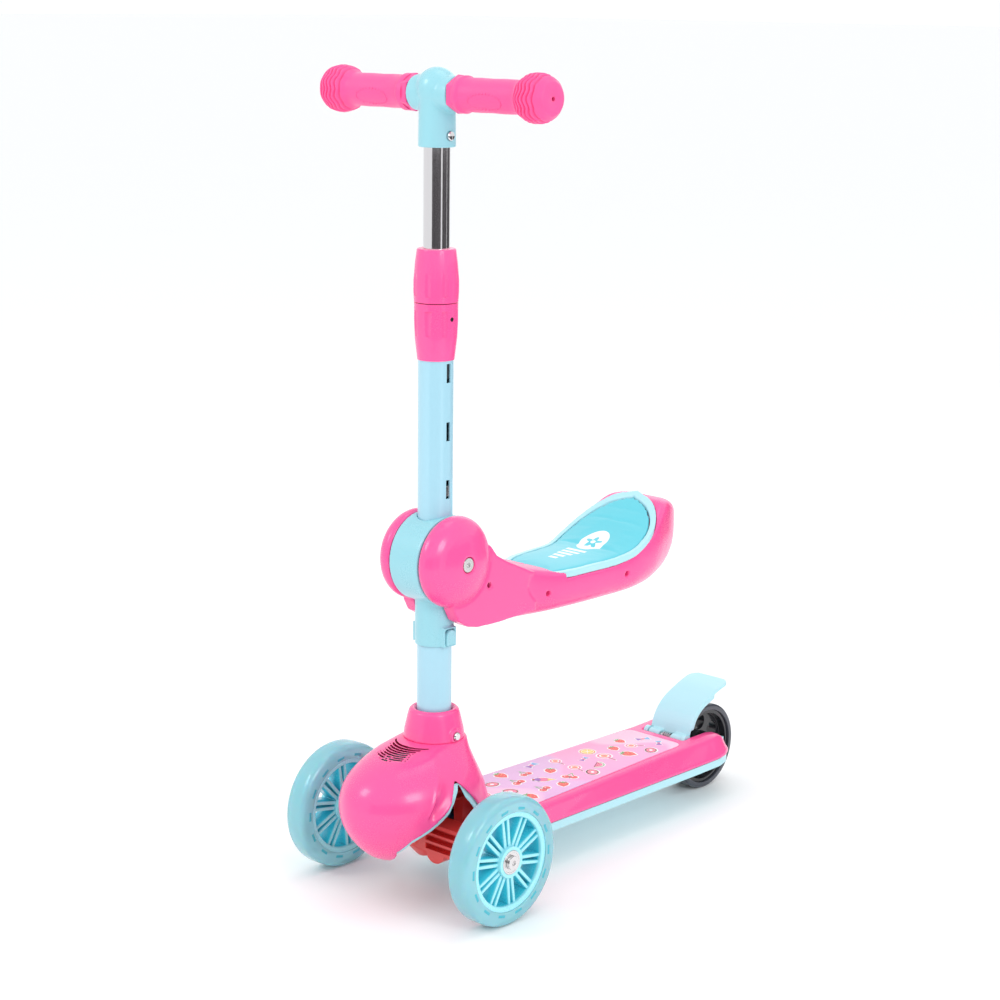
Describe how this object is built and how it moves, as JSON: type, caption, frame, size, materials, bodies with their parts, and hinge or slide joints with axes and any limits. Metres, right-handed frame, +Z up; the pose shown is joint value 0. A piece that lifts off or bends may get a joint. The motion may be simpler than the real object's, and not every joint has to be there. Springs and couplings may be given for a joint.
{
  "type": "kick scooter",
  "caption": "Three-wheeled kick scooter for a small child: telescopic T handlebar, seat that folds up against the stem, lean-to-steer front truck, narrow deck and a sprung rear foot brake.",
  "frame": {"origin": "on the floor, in the middle of the footprint's bounding box", "axes": "+Z up; the scooter rolls towards -Y; its left side is +X; +X is normal to the middle plane"},
  "size_m": [0.268, 0.543, 0.7506],
  "materials": {
    "pink_plastic": "glossy moulded polypropylene",
    "pale_plastic": "satin to glossy moulded plastic",
    "aqua_plastic": "glossy moulded plastic",
    "red_plastic": "satin ribbed moulding",
    "black_plastic": "satin moulding",
    "stem_paint": "smooth gloss powder coat",
    "chrome": "polished chrome plating",
    "steel": "zinc plated",
    "dark_steel": "black oxide screws",
    "magnet": "sintered magnet ring",
    "grip_rubber": "soft satin rubber",
    "black_rubber": "matt rubber",
    "clear_tyre": "translucent cast polyurethane",
    "grey_tyre": "smooth cast polyurethane",
    "deck_print": "printed non-slip sheet",
    "pad_skin": "soft synthetic skin over foam"
  },
  "bodies": {
    "root": {"deck_cover": "pink_plastic", "deck_panel": "deck_print", "deck_tray": "pale_plastic", "deck_stiffener": "steel", "deck_screws": "dark_steel", "nose_shell": "pink_plastic", "nose_trim": "pale_plastic", "steering_head": "red_plastic", "stem_socket": "pink_plastic", "stem_tube": "stem_paint", "collar_lower": "pink_plastic", "collar_pin": "dark_steel", "collar_collet": "black_plastic", "seat_hub": "pale_plastic", "seat_pivot_bolt": "steel", "seat_pivot_nut": "steel", "kingpin": "steel", "kingpin_nut": "steel", "return_buffers": "black_rubber", "stem_button_spring": "steel", "rear_spacer": "steel", "rear_axle_bolt": "steel", "rear_axle_nut": "steel", "brake_pin": "steel", "brake_spring": "steel"},
    "truck": {"front_truck": "red_plastic", "front_spacers": "steel", "front_axle_bolts": "steel"},
    "left_wheel": {"left_tyre": "clear_tyre", "left_core": "aqua_plastic", "left_bearings": "steel", "left_led_ring": "magnet"},
    "right_wheel": {"right_tyre": "clear_tyre", "right_core": "aqua_plastic", "right_bearings": "steel", "right_led_ring": "magnet"},
    "rear_wheel": {"rear_tyre": "grey_tyre", "rear_core": "black_plastic", "rear_bearings": "steel"},
    "brake": {"brake_fender": "pale_plastic"},
    "handlebar": {"crossbar": "steel", "t_connector": "pale_plastic", "left_grip": "grip_rubber", "right_grip": "grip_rubber", "inner_tube": "chrome", "inner_tube_bush": "black_plastic", "height_clip": "chrome", "t_button_spring": "steel"},
    "handle_button": {"t_button": "chrome"},
    "collar": {"collar_upper": "pink_plastic"},
    "left_neck_button": {"left_stem_button": "chrome"},
    "right_neck_button": {"right_stem_button": "chrome"},
    "left_release": {"left_seat_release": "pale_plastic"},
    "right_release": {"right_seat_release": "pale_plastic"},
    "seat": {"seat_shell_left": "pink_plastic", "seat_shell_right": "pink_plastic", "seat_trim": "pale_plastic", "seat_cushion": "pad_skin", "seat_screws": "dark_steel"}
  },
  "joints": [
    {"name": "lean_steer", "type": "hinge", "parent": "root", "child": "truck", "pos_m": [0, -0.1875, 0.06], "axis": [0, -0.7071, 0.7071], "range_deg": [-12, 12], "stiffness_Nm_per_rad": 60, "deforming": ["return_buffers"]},
    {"name": "left_wheel_spin", "type": "hinge", "parent": "truck", "child": "left_wheel", "pos_m": [0.1045, -0.1875, 0.06], "axis": [1, 0, 0], "continuous": true},
    {"name": "right_wheel_spin", "type": "hinge", "parent": "truck", "child": "right_wheel", "pos_m": [-0.1045, -0.1875, 0.06], "axis": [1, 0, 0], "continuous": true},
    {"name": "rear_wheel_spin", "type": "hinge", "parent": "root", "child": "rear_wheel", "pos_m": [0, 0.2265, 0.045], "axis": [1, 0, 0], "continuous": true},
    {"name": "brake_press", "type": "hinge", "parent": "root", "child": "brake", "pos_m": [0, 0.1785, 0.064], "axis": [-1, 0, 0], "range_deg": [0, 4], "stiffness_Nm_per_rad": 2, "springref_deg": -17.19},
    {"name": "handlebar_height", "type": "slide", "parent": "root", "child": "handlebar", "axis": [0, 0, 1], "range_m": [0, 0.1048], "deforming": ["height_clip"]},
    {"name": "handle_button_press", "type": "slide", "parent": "handlebar", "child": "handle_button", "axis": [-1, 0, 0], "range_m": [0, 0.003], "stiffness_N_per_m": 800, "springref_m": -0.003, "deforming": ["t_button_spring"]},
    {"name": "collar_twist", "type": "hinge", "parent": "root", "child": "collar", "pos_m": [0, -0.1675, 0.57], "axis": [0, 0, 1], "range_deg": [0, 90]},
    {"name": "left_neck_button_press", "type": "slide", "parent": "root", "child": "left_neck_button", "axis": [-1, 0, 0], "range_m": [0, 0.003], "stiffness_N_per_m": 800, "springref_m": -0.003, "deforming": ["stem_button_spring"]},
    {"name": "right_neck_button_press", "type": "slide", "parent": "root", "child": "right_neck_button", "axis": [1, 0, 0], "range_m": [0, 0.003], "stiffness_N_per_m": 800, "springref_m": -0.003},
    {"name": "left_release_press", "type": "slide", "parent": "root", "child": "left_release", "axis": [-1, 0, 0], "range_m": [0, 0.0023], "stiffness_N_per_m": 800, "springref_m": -0.003},
    {"name": "right_release_press", "type": "slide", "parent": "root", "child": "right_release", "axis": [1, 0, 0], "range_m": [0, 0.0023], "stiffness_N_per_m": 800, "springref_m": -0.003},
    {"name": "seat_fold", "type": "hinge", "parent": "root", "child": "seat", "pos_m": [0, -0.1675, 0.315], "axis": [1, 0, 0], "range_deg": [0, 80]}
  ]
}
